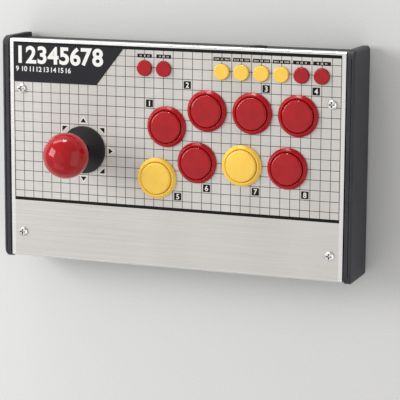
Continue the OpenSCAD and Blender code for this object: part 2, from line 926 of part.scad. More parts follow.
module ball_top() {
    color(red_colour)
        at_lever()
            difference() {
                union() {
                    translate([0, 0, ball_z])
                        sphere(d = ball_d, $fn = 96);
                    translate([0, 0, ball_bottom])
                        cylinder(d = ball_neck_d, h = ball_d / 4);
                }
                translate([0, 0, ball_bottom - over])
                    cylinder(d = tip_hole_d, h = tip_len + over + loose);
            }
}

module lever_shaft() {
    color(chrome_colour)
        at_lever()
            difference() {
                union() {
                    translate([0, 0, sleeve_top + fit])
                        cylinder(d = shaft_d, h = ball_bottom - sleeve_top - fit);
                    translate([0, 0, ball_bottom - over])
                        cylinder(d = tip_d, h = tip_len + over);
                    translate([0, 0, shaft_bottom + shaft_end_bevel])
                        cylinder(d = journal_d, h = sleeve_top - shaft_bottom);
                    translate([0, 0, shaft_bottom])
                        cylinder(
                            d1 = journal_d - 2 * shaft_end_bevel, d2 = journal_d, h = shaft_end_bevel
                        );
                }
                translate([0, 0, clip_z - fit])
                    difference() {
                        cylinder(d = journal_d + over, h = clip_t + 2 * fit);
                        translate([0, 0, -over])
                            cylinder(d = journal_d - 2 * clip_groove, h = clip_t + 2 * over);
                    }
            }
}

module shaft_clip() {
    color(steel_colour)
        at_lever()
            translate([0, 0, clip_z])
                rotate_extrude(angle = 360 - clip_mouth)
                    translate([journal_d / 2 - clip_groove + fit, 0])
                        square([clip_d / 2 - journal_d / 2 + clip_groove - fit, clip_t]);
}

module dust_washer() {
    color(black_colour)
        at_lever()
            translate([0, 0, washer_z])
                difference() {
                    union() {
                        cylinder(d = washer_d, h = washer_t - washer_edge);
                        translate([0, 0, washer_t - washer_edge])
                            cylinder(d1 = washer_d, d2 = washer_d - 2 * washer_edge, h = washer_edge);
                    }
                    translate([0, 0, -over])
                        cylinder(d = washer_bore_d, h = washer_t + 2 * over);
                }
}

module dust_shield() {
    color(black_colour)
        at_lever()
            translate([0, 0, shield_top - shield_t])
                difference() {
                    cylinder(d = shield_d, h = shield_t);
                    translate([0, 0, -over])
                        cylinder(d = shield_bore_d, h = shield_t + 2 * over);
                }
}

module lever_plate() {
    color(steel_colour)
        at_lever()
            difference() {
                translate([-plate_w / 2, -plate_d / 2, plate_bottom])
                    cube([plate_w, plate_d, plate_t]);
                translate([0, 0, plate_bottom - over]) {
                    cylinder(d = plate_hole_d, h = plate_t + 2 * over);
                    corners(stud_x, stud_y)
                        cylinder(d = stud_d + 2 * gap, h = plate_t + 2 * over);
                    corners(body_screw_x, body_screw_x)
                        cylinder(d = small_d + 2 * gap, h = plate_t + 2 * over);
                }
            }
}

module lever_nuts() {
    color(steel_colour)
        at_lever()
            corners(stud_x, stud_y)
                translate([0, 0, plate_bottom - hex_nut_h])
                    difference() {
                        cylinder(d = hex_nut_af / cos(30), h = hex_nut_h, $fn = 6);
                        translate([0, 0, -over])
                            cylinder(d = stud_d + 2 * loose, h = hex_nut_h + 2 * over);
                    }
}

module lever_body() {
    color(black_colour)
        at_lever()
            difference() {
                union() {
                    translate([-lever_w / 2, -lever_w / 2, body_bottom])
                        cube([lever_w, lever_w, plate_bottom - body_bottom]);
                    corners(post_x, post_x) {
                        translate([-post_w / 2, -post_w / 2, lever_board_top])
                            cube([post_w, post_w, body_bottom - lever_board_top + over]);
                        translate([0, 0, gate_bottom])
                            cylinder(d = peg_d, h = lever_board_top - gate_bottom + over);
                    }
                }
                translate([0, 0, cavity_floor])
                    cylinder(d = cavity_d, h = plate_bottom - cavity_floor + over);
                translate([0, 0, body_bottom - over])
                    cylinder(d = body_bore_d, h = body_floor_t + 2 * over);
                translate([0, 0, pivot_z])
                    rotate([0, 90, 0])
                        cylinder(d = trunnion_hole_d, h = lever_w + 2 * over, center = true);
                translate([0, 0, plate_top - small_len - gap])
                    corners(body_screw_x, body_screw_x)
                        cylinder(d = small_d + 2 * loose, h = small_len + over);
            }
}

module gimbal_ring() {
    color(steel_colour)
        at_lever()
            translate([0, 0, pivot_z])
                difference() {
                    union() {
                        cylinder(d = ring_d, h = ring_h, center = true);
                        rotate([0, 90, 0])
                            cylinder(d = trunnion_d, h = lever_w - 2 * loose, center = true);
                    }
                    cylinder(d = ring_bore, h = ring_h + 2 * over, center = true);
                    rotate([90, 0, 0])
                        cylinder(d = trunnion_hole_d, h = ring_d + 2 * over, center = true);
                }
}

module pivot_sleeve() {
    color(charcoal_colour)
        at_lever()
            difference() {
                union() {
                    translate([0, 0, sleeve_bottom])
                        cylinder(d = sleeve_d, h = sleeve_top - sleeve_bottom);
                    translate([0, 0, pivot_z])
                        rotate([90, 0, 0])
                            cylinder(d = trunnion_d, h = ring_d - 2 * gap, center = true);
                }
                translate([0, 0, sleeve_bottom - over])
                    cylinder(d = journal_bore_d, h = sleeve_top - sleeve_bottom + 2 * over);
            }
}

module actuator() {
    color("white")
        at_lever()
            difference() {
                union() {
                    translate([0, 0, actuator_bottom])
                        cylinder(d = actuator_d, h = actuator_top - actuator_bottom);
                    translate([0, 0, actuator_flange_z])
                        cylinder(d = actuator_flange_d, h = actuator_flange_h);
                }
                translate([0, 0, actuator_bottom - over])
                    cylinder(d = journal_bore_d, h = actuator_top - actuator_bottom + 2 * over);
            }
}

// A helix of flat-sided rings, closed with a flat fan at each end
module helix(r, wire_d, z0, z1, turns) {
    steps = ceil(turns * spring_steps);
    function centre(i) = [
        r * cos(360 * turns * i / steps),
        r * sin(360 * turns * i / steps),
        z0 + (z1 - z0) * i / steps
    ];
    function ring(i, k) = [
        (r + wire_d / 2 * cos(360 * k / spring_sides)) * cos(360 * turns * i / steps),
        (r + wire_d / 2 * cos(360 * k / spring_sides)) * sin(360 * turns * i / steps),
        centre(i)[2] + wire_d / 2 * sin(360 * k / spring_sides)
    ];
    points = concat(
        [for (i = [0:steps]) for (k = [0:spring_sides - 1]) ring(i, k)],
        [centre(0), centre(steps)]
    );
    first = (steps + 1) * spring_sides;
    last = steps * spring_sides;
    function next(k) = (k + 1) % spring_sides;
    sides = [
        for (i = [0:steps - 1])
            for (k = [0:spring_sides - 1])
                for (half = [0, 1])
                    half == 0
                        ? [i * spring_sides + k, (i + 1) * spring_sides + k, i * spring_sides + next(k)]
                        : [
                            i * spring_sides + next(k), (i + 1) * spring_sides + k,
                            (i + 1) * spring_sides + next(k)
                        ]
    ];
    ends = [
        for (k = [0:spring_sides - 1])
            for (half = [0, 1])
                half == 0 ? [first, k, next(k)] : [first + 1, last + next(k), last + k]
    ];
    polyhedron(points, concat(sides, ends));
}

module centring_spring() {
    color(steel_colour)
        at_lever()
            helix(spring_r, spring_wire, spring_low, spring_high, spring_turns);
}

module spring_seat() {
    color(black_colour)
        at_lever()
            translate([0, 0, seat_bottom])
                difference() {
                    cylinder(d = seat_d, h = seat_t);
                    translate([0, 0, -over])
                        cylinder(d = seat_bore_d, h = seat_t + 2 * over);
                }
}

module restrictor_gate() {
    color([0.85, 0.85, 0.8])
        at_lever()
            difference() {
                translate([-lever_w / 2, -lever_w / 2, gate_bottom])
                    cube([lever_w, lever_w, gate_t]);
                translate([-gate_hole_w / 2, -gate_hole_w / 2, gate_bottom - over])
                    cube([gate_hole_w, gate_hole_w, gate_t + 2 * over]);
                translate([0, 0, gate_bottom - over])
                    corners(post_x, post_x)
                        cylinder(d = peg_hole_d, h = gate_t + 2 * over);
            }
}

module lever_switches() {
    color(black_colour)
        at_lever()
            for (turn = [0:90:270])
                rotate([0, 0, turn]) {
                    translate([lever_switch_x, -lever_switch_l / 2, lever_board_top])
                        cube([lever_switch_t, lever_switch_l, lever_switch_h]);
                    translate([nub_x, -nub_w / 2, lever_board_top + lever_switch_h / 2 - nub_w / 2])
                        cube([nub_len + nub_w / 2, nub_w, nub_w]);
                }
}

module lever_board() {
    color(board_colour)
        at_lever()
            difference() {
                translate([-lever_w / 2, -lever_w / 2 - lever_board_reach, gate_top])
                    cube([lever_w, lever_w + lever_board_reach, board_t]);
                translate([0, 0, gate_top - over]) {
                    cylinder(d = board_hole_d, h = board_t + 2 * over);
                    corners(post_x, post_x)
                        cylinder(d = peg_hole_d, h = board_t + 2 * over);
                }
            }
}

// Main board, screws and wires

module main_board() {
    color(board_colour)
        translate([main_x, main_y, main_bottom])
            difference() {
                translate([-main_w / 2, -main_d / 2, 0])
                    cube([main_w, main_d, board_t]);
                translate([0, 0, -over])
                    corners(main_hole_x, main_hole_y)
                        cylinder(d = small_d + 2 * gap, h = board_t + 2 * over);
            }
}

module board_chips() {
    color(black_colour)
        translate([main_x, main_y - main_d / 6, main_top]) {
            translate([-chip_w / 2, -chip_w / 2, 0])
                cube([chip_w, chip_w, chip_h]);
            translate([chip_w, -crystal_w / 2, 0])
                cube([crystal_l, crystal_w, crystal_h]);
            translate([-2 * chip_w, 0, 0])
                cylinder(d = capacitor_d, h = capacitor_h);
        }
}

module small_screws() {
    color(steel_colour) {
        translate([main_x, main_y, main_top])
            corners(main_hole_x, main_hole_y)
                screw(small_d, small_head_d, small_head_h, small_len);
        for (p = MENU_STUDS)
            translate([p[0], p[1], menu_bottom])
                mirror([0, 0, 1])
                    screw(small_d, small_head_d, small_head_h, small_len);
        at_lever()
            translate([0, 0, plate_top])
                corners(body_screw_x, body_screw_x)
                    screw(small_d, small_head_d, small_head_h, small_len);
    }
}

module header() {
    translate([-header_w / 2, -header_d / 2, 0])
        cube([header_w, header_d, header_h]);
}

module wire_headers() {
    color("white") {
        for (x = [button_header_x, lever_header_x, menu_header_x])
            translate([x, header_y, main_top])
                header();
        translate([lever_x, lever_wire_y + header_d / 2, lever_board_top])
            header();
        translate([menu_wire_x, menu_wire_y, menu_bottom - header_h])
            header();
    }
}

module wire_harness() {
    header_mid = main_top + header_h / 2;
    header_back = header_y + header_d / 2;
    menu_drop = menu_bottom - header_h;
    trunk_left = min([for (p = BUTTONS) p[0]]);
    trunk_right = max([for (p = BUTTONS) p[0]]);
    color([0.5, 0.1, 0.1]) {
        // two wires down from each button's switch, and one branch forward to the trunk
        for (p = BUTTONS) {
            for (side = [-1, 1])
                wire(
                    [
                        [p[0] + side * tab_x, p[1], tab_bottom],
                        [p[0] + side * tab_x, p[1], trunk_z],
                        [p[0], p[1], trunk_z]
                    ],
                    wire_d
                );
            wire(
                [
                    [p[0], p[1] + branch_d, trunk_z],
                    [p[0], p[1], trunk_z],
                    [p[0], trunk_y, trunk_z]
                ],
                branch_d
            );
        }
        wire(
            [
                [trunk_left - trunk_d, trunk_y, trunk_z],
                [button_header_x, trunk_y, trunk_z],
                [trunk_right + trunk_d, trunk_y, trunk_z]
            ],
            trunk_d
        );
        wire(
            [
                [button_header_x, trunk_y, trunk_z],
                [button_header_x, trunk_y, header_mid],
                [button_header_x, header_back, header_mid]
            ],
            trunk_d
        );
        // lever board to main board
        wire(
            [
                [lever_x, lever_wire_y, lever_board_top + header_h / 2],
                [lever_x, trunk_y - trunk_d, lever_board_top + header_h / 2],
                [lever_x, trunk_y - trunk_d, header_mid],
                [lever_header_x, trunk_y - trunk_d, header_mid],
                [lever_header_x, header_back, header_mid]
            ],
            branch_d
        );
        // board of the small caps to main board
        wire(
            [
                [menu_wire_x, menu_wire_y, menu_drop],
                [menu_wire_x, menu_wire_y, header_mid + header_h],
                [menu_wire_x, trunk_y, header_mid + header_h],
                [menu_header_x, trunk_y, header_mid + header_h],
                [menu_header_x, header_back + branch_d, header_mid],
                [menu_header_x, header_back, header_mid]
            ],
            branch_d
        );
    }
}

top_panel();
printed_film();
corner_label();
left_cheek();
right_cheek();
chassis_tray();
rubber_feet();
panel_screws();
base_screws();
cable_grommet();
for (i = [0:7]) {
    button(i);
    housing(i);
    cap(i);
}
ring_nuts();
button_switches();
menu_board();
menu_switches();
ball_top();
lever_shaft();
shaft_clip();
dust_washer();
dust_shield();
lever_plate();
lever_nuts();
lever_body();
gimbal_ring();
pivot_sleeve();
actuator();
centring_spring();
spring_seat();
restrictor_gate();
lever_switches();
lever_board();
main_board();
board_chips();
small_screws();
wire_headers();
wire_harness();
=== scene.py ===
"""Looks of the arcade fight stick: its materials, the ink on its panel, and a studio."""
import json
import math

import bmesh
import bpy
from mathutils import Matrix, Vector


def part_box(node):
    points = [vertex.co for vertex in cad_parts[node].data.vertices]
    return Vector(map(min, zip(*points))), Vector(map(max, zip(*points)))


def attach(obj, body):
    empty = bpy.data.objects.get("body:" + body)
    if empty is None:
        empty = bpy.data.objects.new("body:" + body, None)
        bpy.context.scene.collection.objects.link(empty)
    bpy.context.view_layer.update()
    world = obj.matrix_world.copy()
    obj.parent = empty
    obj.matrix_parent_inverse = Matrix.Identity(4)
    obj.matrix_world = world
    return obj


MM = 0.001

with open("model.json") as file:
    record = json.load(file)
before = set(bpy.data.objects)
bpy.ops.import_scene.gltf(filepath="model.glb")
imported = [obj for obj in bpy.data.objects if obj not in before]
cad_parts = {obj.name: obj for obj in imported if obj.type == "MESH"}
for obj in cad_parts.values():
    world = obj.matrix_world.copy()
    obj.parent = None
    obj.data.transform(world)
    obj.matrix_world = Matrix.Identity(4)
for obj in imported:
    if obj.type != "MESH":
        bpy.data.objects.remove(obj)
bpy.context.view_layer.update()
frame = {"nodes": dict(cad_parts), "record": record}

# Places on the panel, in metres, from the parts that carry them
FILM_LOW, FILM_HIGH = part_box("printed_film")
LABEL_LOW, LABEL_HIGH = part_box("corner_label")
FILM_TOP = FILM_HIGH.z
PANEL_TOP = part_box("top_panel")[1].z


def middle(node):
    """The middle of a node's box."""
    low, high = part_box(node)
    return (low + high) / 2


LEVER = middle("dust_washer")
BUTTONS = [middle(f"button_{n}") for n in range(1, 9)]
CAPS = [middle(f"cap_{n}") for n in range(1, 9)]
FIRST_CAP_NUMBER = len(BUTTONS) + 1

# Colours, in the 0 to 255 values of a screen
STEEL = (226, 222, 216)
STEEL_DARK = (208, 205, 200)
STEEL_PALE = (217, 215, 210)
# painted sheen in bands across the brushing
STEEL_SHEEN_BAND = (230, 228, 224)
# painted highlight on the steel's bends and margins
PAINTED_STEEL_HIGHLIGHT = (246, 246, 245)
CHROME = (246, 246, 247)
ZINC = (186, 188, 190)
# painted shade in the recesses of plated parts
PAINTED_RECESS_SHADE = (58, 56, 54)
FILM = (214, 211, 205)
FILM_DARK = (203, 200, 195)
FILM_PALE = (214, 212, 208)
FILM_STREAK = (188, 184, 178)
LABEL = (27, 27, 33)
LABEL_PALE = (32, 32, 39)
GRID_INK = (78, 75, 73)
BLACK_INK = (7, 7, 7)
WHITE_INK = (238, 237, 233)
PALE_INK = (226, 224, 219)
CHARCOAL = (50, 50, 56)
CHARCOAL_WORN = (128, 128, 134)
BLACK_PLASTIC = (30, 30, 32)
BLACK_PLASTIC_WORN = (70, 70, 72)
WHITE_PLASTIC = (222, 220, 210)
WHITE_PLASTIC_WORN = (240, 238, 230)
RED = (172, 12, 23)
RED_DEEP = (163, 9, 20)
YELLOW = (251, 208, 88)
YELLOW_DEEP = (250, 203, 80)
BLACK_PAINT = (24, 24, 26)
PAINT_WORN = (78, 78, 80)
PAINT_FLECK = (52, 52, 55)
RUBBER = (26, 26, 27)
RUBBER_DUST = (58, 57, 55)
BOARD = (18, 92, 54)
BOARD_TRACK = (40, 128, 78)
GOLD = (200, 164, 82)
WIRE_RED = (150, 24, 26)
WIRE_BLACK = (26, 26, 28)
WIRE_SCUFF = (110, 80, 78)
FLOOR = (218, 218, 217)
FLOOR_PALE = (224, 224, 223)


def linear(screen):
    """A screen colour as the linear values that shaders take, with full alpha."""
    parts = [value / 255 for value in screen]
    return [p / 12.92 if p <= 0.04045 else ((p + 0.055) / 1.055) ** 2.4 for p in parts] + [1.0]


def toned(colour, factor, lift=0):
    """A screen colour made darker by a factor, then lifted by so many steps."""
    return tuple(min(255, int(value * factor + lift)) for value in colour)


# Materials

NOISE_BODY = (0.3, 0.7)         # where most of a noise's values lie
EDGE_TURN = (0.02, 0.2)         # how far a normal turns on a sharp edge: 1 less its cosine
RECESS_LIGHT = (0.45, 0.85)     # share of the light that reaches a recess, and an open face


class Look:
    """A material in the making. Its methods add the few kinds of node that the looks share.

    Its own colour and roughness are for programs that don't read what is linked to them.
    """

    def __init__(self, name, colour, roughness, metallic=0.0, specular=0.5):
        self.material = bpy.data.materials.new(name)
        self.material.use_nodes = True
        self.tree = self.material.node_tree
        self.shader = self.tree.nodes["Principled BSDF"]
        self.shader.inputs["Base Color"].default_value = linear(colour)
        self.shader.inputs["Roughness"].default_value = roughness
        self.shader.inputs["Metallic"].default_value = metallic
        self.shader.inputs["Specular IOR Level"].default_value = specular
        self.place = self.add("ShaderNodeTexCoord").outputs["Object"]

    def add(self, kind, **settings):
        """Adds a node with some of its settings."""
        node = self.tree.nodes.new(kind)
        for key, value in settings.items():
            setattr(node, key, value)
        return node

    def feed(self, socket, value):
        """Links a socket, or sets it when the value is a plain one."""
        if isinstance(value, bpy.types.NodeSocket):
            self.tree.links.new(value, socket)
        else:
            socket.default_value = value

    def noise(self, size, stretch=(1, 1, 1), detail=2.0):
        """Noise from 0 to 1 whose features are about size metres, drawn out along each axis."""
        mapping = self.add("ShaderNodeMapping")
        self.feed(mapping.inputs["Vector"], self.place)
        mapping.inputs["Scale"].default_value = [1 / (size * s) for s in stretch]
        noise = self.add("ShaderNodeTexNoise")
        noise.inputs["Scale"].default_value = 1.0
        noise.inputs["Detail"].default_value = detail
        self.feed(noise.inputs["Vector"], mapping.outputs["Vector"])
        return noise.outputs["Fac"]

    def calc(self, operation, a, b=0.0):
        """One step of arithmetic on values or sockets."""
        node = self.add("ShaderNodeMath", operation=operation)
        self.feed(node.inputs[0], a)
        self.feed(node.inputs[1], b)
        return node.outputs[0]

    def spread(self, value, across=NOISE_BODY, to=(0.0, 1.0)):
        """Maps one range of a value smoothly onto another, and holds it at the ends."""
        node = self.add("ShaderNodeMapRange", interpolation_type="SMOOTHSTEP")
        sockets = ("Value", "From Min", "From Max", "To Min", "To Max")
        for socket, given in zip(sockets, (value, *across, *to)):
            self.feed(node.inputs[socket], given)
        return node.outputs["Result"]

    def mix(self, factor, a, b):
        """Colour a where the factor is 0 and colour b where it is 1."""
        node = self.add("ShaderNodeMix", data_type="RGBA")
        self.feed(node.inputs["Factor"], factor)
        colours = [s for s in node.inputs if s.type == "RGBA"]
        for socket, colour in zip(colours, (a, b)):
            self.feed(socket, linear(colour) if isinstance(colour, tuple) else colour)
        return [s for s in node.outputs if s.type == "RGBA"][0]

    def axes(self):
        """The x, y and z of the place."""
        parts = self.add("ShaderNodeSeparateXYZ")
        self.feed(parts.inputs[0], self.place)
        return parts.outputs

    def facing_up(self):
        """1 on faces that look up, 0 on upright ones."""
        parts = self.add("ShaderNodeSeparateXYZ")
        self.feed(parts.inputs[0], self.add("ShaderNodeNewGeometry").outputs["Normal"])
        return parts.outputs[2]

    def eased(self, radius):
        """The surface's normal with sharp edges rounded to a radius."""
        bevel = self.add("ShaderNodeBevel", samples=4)
        bevel.inputs["Radius"].default_value = radius
        return bevel.outputs["Normal"]

    def edges(self, radius):
        """1 on sharp outer and inner edges, within about radius metres, and 0 elsewhere."""
        dot = self.add("ShaderNodeVectorMath", operation="DOT_PRODUCT")
        self.feed(dot.inputs[0], self.eased(radius))
        self.feed(dot.inputs[1], self.add("ShaderNodeNewGeometry").outputs["Normal"])
        turned_away = self.calc("SUBTRACT", 1.0, dot.outputs["Value"])
        return self.spread(turned_away, EDGE_TURN)

    def recesses(self, reach):
        """1 down in recesses whose walls stand within reach metres, and 0 on open faces."""
        shade = self.add("ShaderNodeAmbientOcclusion", samples=8, only_local=True)
        shade.inputs["Distance"].default_value = reach
        return self.spread(shade.outputs["AO"], RECESS_LIGHT, to=(1.0, 0.0))

    def colour(self, value):
        """Sets the shader's colour."""
        self.feed(self.shader.inputs["Base Color"], value)

    def roughness(self, value):
        """Sets the shader's roughness."""
        self.feed(self.shader.inputs["Roughness"], value)

    def bump(self, height, depth, round_edges=0.0):
        """Raises the surface by up to depth metres where height is 1, and eases sharp edges."""
        bump = self.add("ShaderNodeBump")
        bump.inputs["Strength"].default_value = 1.0
        bump.inputs["Distance"].default_value = depth
        self.feed(bump.inputs["Height"], height)
        if round_edges:
            self.feed(bump.inputs["Normal"], self.eased(round_edges))
        self.feed(self.shader.inputs["Normal"], bump.outputs["Normal"])


# Where the normal turns away from up, on the bends, the steel takes the painted highlight colour
FACE_UP = (0.75, 0.98)          # the upward part of the normal, on the bends and on the flat
MARGIN_HIGHLIGHT_SHARE = 0.55             # share of the painted highlight on the margins beside and behind the film
HAIR_SHARE = 0.5                # of the grain. The rest is broader streaks


def brushed_steel():
    """Panel steel: brushed from side to side, with painted bands of sheen, and a painted highlight
    on its bends and on the margins beside the film.
    """
    look = Look("steel", STEEL, 0.34, metallic=1.0)
    hair = look.noise(0.18 * MM, (220, 1, 1), detail=3.0)
    streak = look.noise(1.1 * MM, (90, 1, 1), detail=4.0)
    sheen_band = look.noise(60 * MM, (1, 8, 1), detail=1.0)
    flat = look.spread(look.facing_up(), FACE_UP)
    x, y, _ = look.axes()
    beside = look.calc("GREATER_THAN", look.calc("ABSOLUTE", x), FILM_HIGH.x)
    behind = look.calc("GREATER_THAN", y, FILM_HIGH.y)
    # Margins beside and behind the film are painted paler: a painted highlight
    highlight_margin = look.calc("MULTIPLY", look.calc("MAXIMUM", beside, behind), MARGIN_HIGHLIGHT_SHARE)
    grain = look.calc("ADD", look.calc("MULTIPLY", hair, HAIR_SHARE),
                      look.calc("MULTIPLY", streak, 1 - HAIR_SHARE))
    brushed = look.mix(look.spread(grain), STEEL_DARK, STEEL_PALE)
    # Soft pale bands across the brushing: painted sheen standing in for the lamps' streaked
    # reflection
    sheen_banded = look.mix(look.spread(sheen_band, to=(0.0, 0.35)), brushed, STEEL_SHEEN_BAND)
    lightened = look.mix(highlight_margin, sheen_banded, PAINTED_STEEL_HIGHLIGHT)
    look.colour(look.mix(flat, PAINTED_STEEL_HIGHLIGHT, lightened))
    look.roughness(look.spread(grain, (0.25, 0.75), to=(0.24, 0.35)))
    look.bump(grain, 0.0034 * MM)
    return look.material


# The film's grid, and the black lines along its rear and front edges
GRID_CELLS = 34
GRID_PITCH = (FILM_HIGH.x - FILM_LOW.x) / GRID_CELLS
GRID_FIRST_COLUMN = 0.55 * MM   # in from the left edge
GRID_FIRST_ROW = 7.65 * MM      # in from the rear edge
GRID_LINE = 0.5 * MM
EDGE_LINE = 2.5 * MM


def printed_film():
    """Film over the rear of the panel: a pale ground, a square grid and two black lines."""
    look = Look("film", FILM, 0.54, specular=0.2)
    x, y, _ = look.axes()
    first_column = FILM_LOW.x + GRID_FIRST_COLUMN
    first_row = FILM_HIGH.y - GRID_FIRST_ROW
    across = look.calc("PINGPONG", look.calc("SUBTRACT", x, first_column), GRID_PITCH / 2)
    along = look.calc("PINGPONG", look.calc("SUBTRACT", y, first_row), GRID_PITCH / 2)
    on_line = look.calc("LESS_THAN", look.calc("MINIMUM", across, along), GRID_LINE / 2)
    at_side = look.calc("GREATER_THAN", look.calc("ABSOLUTE", x), FILM_HIGH.x - GRID_LINE)
    on_grid = look.calc("MAXIMUM", on_line, at_side)
    at_front = look.calc("LESS_THAN", y, FILM_LOW.y + EDGE_LINE)
    at_rear = look.calc("GREATER_THAN", y, FILM_HIGH.y - EDGE_LINE)
    cloud = look.noise(45 * MM, (1, 5, 1), detail=1.0)
    fine = look.noise(0.5 * MM, (20, 1, 1), detail=3.0)
    ground = look.mix(look.spread(cloud), FILM_DARK, FILM_PALE)
    ground = look.mix(look.spread(fine, to=(0.0, 0.25)), ground, FILM_STREAK)
    inked = look.mix(on_grid, ground, GRID_INK)
    look.colour(look.mix(look.calc("MAXIMUM", at_front, at_rear), inked, BLACK_INK))
    look.roughness(look.spread(fine, to=(0.48, 0.6)))
    look.bump(fine, 0.004 * MM)
    return look.material


def satin_label():
    """The dark label in the panel's corner."""
    look = Look("label", LABEL, 0.5, specular=0.22)
    cloud = look.noise(30 * MM)
    grain = look.noise(0.3 * MM, detail=3.0)
    look.colour(look.mix(look.spread(cloud), LABEL, LABEL_PALE))
    look.roughness(look.spread(grain, to=(0.44, 0.58)))
    look.bump(grain, 0.006 * MM)
    return look.material


def ink(name, colour):
    """Screen-printed ink: slightly uneven, a little raised and satin."""
    look = Look(name, colour, 0.55, specular=0.2)
    mottle = look.noise(0.8 * MM, detail=3.0)
    paler = toned(colour, 0.95, lift=12)
    look.colour(look.mix(look.spread(mottle, (0.45, 0.75), to=(0.0, 0.4)), colour, paler))
    look.roughness(look.spread(mottle, to=(0.5, 0.64)))
    look.bump(mottle, 0.006 * MM)
    return look.material


EDGE_WEAR = 0.55                # how much of the worn colour shows on the edges of plastic
PAINT_WEAR = 0.4                # and on the edges of painted metal


def moulded(name, colour, worn, roughness):
    """Moulded plastic with a fine spark-eroded texture and paler, worn edges."""
    look = Look(name, colour, roughness, specular=0.35)
    texture = look.noise(0.35 * MM, detail=3.0)
    haze = look.noise(22 * MM, detail=3.0)
    edge = 0.35 * MM
    body = look.mix(look.spread(haze, (0.35, 0.65)), toned(colour, 0.86), colour)
    look.colour(look.mix(look.calc("MULTIPLY", look.edges(edge), EDGE_WEAR), body, worn))
    look.roughness(look.spread(texture, to=(roughness - 0.06, roughness + 0.08)))
    look.bump(texture, 0.02 * MM, round_edges=edge)
    return look.material


def gloss(name, colour, deep, smooth=0.08, dusty=0.16, specular=0.4):
    """Polished plastic: a faint waviness, fine dust in the gloss and a deeper tone in places."""
    look = Look(name, colour, smooth, specular=specular)
    wave = look.noise(6 * MM, detail=1.0)
    dust = look.noise(0.25 * MM, detail=4.0)
    look.colour(look.mix(look.spread(wave, (0.35, 0.7)), colour, deep))
    look.roughness(look.spread(dust, (0.4, 0.75), to=(smooth, dusty)))
    look.bump(wave, 0.008 * MM, round_edges=0.25 * MM)
    return look.material


def satin_rim(name, colour, deep):
    """The same plastic on the rims of the big buttons, which shine less than the plungers."""
    return gloss(name, colour, deep, smooth=0.2, dusty=0.28, specular=0.26)


def powder_coat():
    """Black textured paint on the folded tray."""
    look = Look("black_paint", BLACK_PAINT, 0.55)
    peel = look.noise(0.6 * MM, detail=3.0)
    fleck = look.noise(0.2 * MM)
    edge = 0.3 * MM
    lightened = look.calc("MULTIPLY", look.edges(edge), PAINT_WEAR)
    worn = look.mix(lightened, BLACK_PAINT, PAINT_WORN)
    look.colour(look.mix(look.spread(fleck, (0.62, 0.75), to=(0.0, 0.5)), worn, PAINT_FLECK))
    look.roughness(look.spread(peel, to=(0.48, 0.66)))
    look.bump(peel, 0.05 * MM, round_edges=edge)
    return look.material


def rubber():
    """Matt black rubber with dust in its pores."""
    look = Look("rubber", RUBBER, 0.8, specular=0.3)
    speck = look.noise(0.4 * MM, detail=4.0)
    look.colour(look.mix(look.spread(speck, (0.5, 0.75)), RUBBER, RUBBER_DUST))
    look.bump(speck, 0.04 * MM, round_edges=0.4 * MM)
    return look.material


def plated_metal(name, colour, roughness):
    """Plated metal with fine turning marks, and painted shade in its recesses."""
    look = Look(name, colour, roughness, metallic=1.0)
    mark = look.noise(0.4 * MM, (1, 1, 0.3), detail=3.0)
    stain = look.noise(5 * MM, detail=3.0)
    clean = look.mix(look.spread(stain, (0.4, 0.75)), colour, toned(colour, 0.8))
    # Recesses such as the screws' cross slots are darkened with painted shade
    look.colour(look.mix(look.recesses(1.2 * MM), clean, PAINTED_RECESS_SHADE))
    look.roughness(look.spread(mark, to=(roughness * 0.7, roughness * 1.5)))
    look.bump(mark, 0.004 * MM, round_edges=0.15 * MM)
    return look.material


# Tracks on the boards run across or along, in patches. Their steps and widths are given by half
TRACK_HALF_STEP_X = 0.9 * MM
TRACK_HALF_STEP_Y = 1.3 * MM
TRACK_HALF_WIDE = 0.35 * MM
TRACK_PATCH = 7 * MM
TRACK_SHOWS = 0.8               # how much of the copper's tone comes through the lacquer
PAD_STEP = 4.5 * MM
PAD_REACH = 0.13                # a pad's radius, as a share of the step


def circuit_board():
    """Green lacquer over copper tracks, with bare pads."""
    look = Look("board", BOARD, 0.32)
    x, y, _ = look.axes()
    weave = look.noise(0.5 * MM)
    lane_x = look.calc("PINGPONG", x, TRACK_HALF_STEP_X)
    lane_y = look.calc("PINGPONG", y, TRACK_HALF_STEP_Y)
    patch = look.calc("GREATER_THAN", look.noise(TRACK_PATCH, detail=0.0), 0.5)
    elsewhere = look.calc("SUBTRACT", 1.0, patch)
    lane = look.calc("ADD", look.calc("MULTIPLY", lane_x, patch),
                     look.calc("MULTIPLY", lane_y, elsewhere))
    track = look.calc("LESS_THAN", lane, TRACK_HALF_WIDE)
    cells = look.add("ShaderNodeTexVoronoi")
    cells.inputs["Scale"].default_value = 1 / PAD_STEP
    look.feed(cells.inputs["Vector"], look.place)
    pad = look.calc("LESS_THAN", cells.outputs["Distance"], PAD_REACH)
    lacquer = look.mix(look.calc("MULTIPLY", track, TRACK_SHOWS), BOARD, BOARD_TRACK)
    look.colour(look.mix(pad, lacquer, GOLD))
    look.roughness(look.spread(weave, to=(0.26, 0.4)))
    look.bump(look.calc("ADD", track, pad), 0.03 * MM, round_edges=0.1 * MM)
    return look.material


WIRE_LANE = 11 * MM             # the width of each lane of red or black


def wire_sleeve():
    """Wire insulation, red and black by turns across the harness."""
    look = Look("wire", WIRE_RED, 0.45)
    x, _, _ = look.axes()
    lane = look.calc("PINGPONG", x, WIRE_LANE)
    scuff = look.noise(1.5 * MM, detail=3.0)
    two = look.mix(look.calc("GREATER_THAN", lane, WIRE_LANE / 2), WIRE_RED, WIRE_BLACK)
    look.colour(look.mix(look.spread(scuff, (0.55, 0.8), to=(0.0, 0.4)), two, WIRE_SCUFF))
    look.roughness(look.spread(scuff, to=(0.38, 0.55)))
    look.bump(scuff, 0.02 * MM)
    return look.material


def floor_paper():
    """Pale paper under the object."""
    look = Look("floor", FLOOR, 0.9)
    tooth = look.noise(1.2 * MM, detail=4.0)
    look.colour(look.mix(look.spread(tooth), FLOOR, FLOOR_PALE))
    look.bump(tooth, 0.02 * MM)
    return look.material


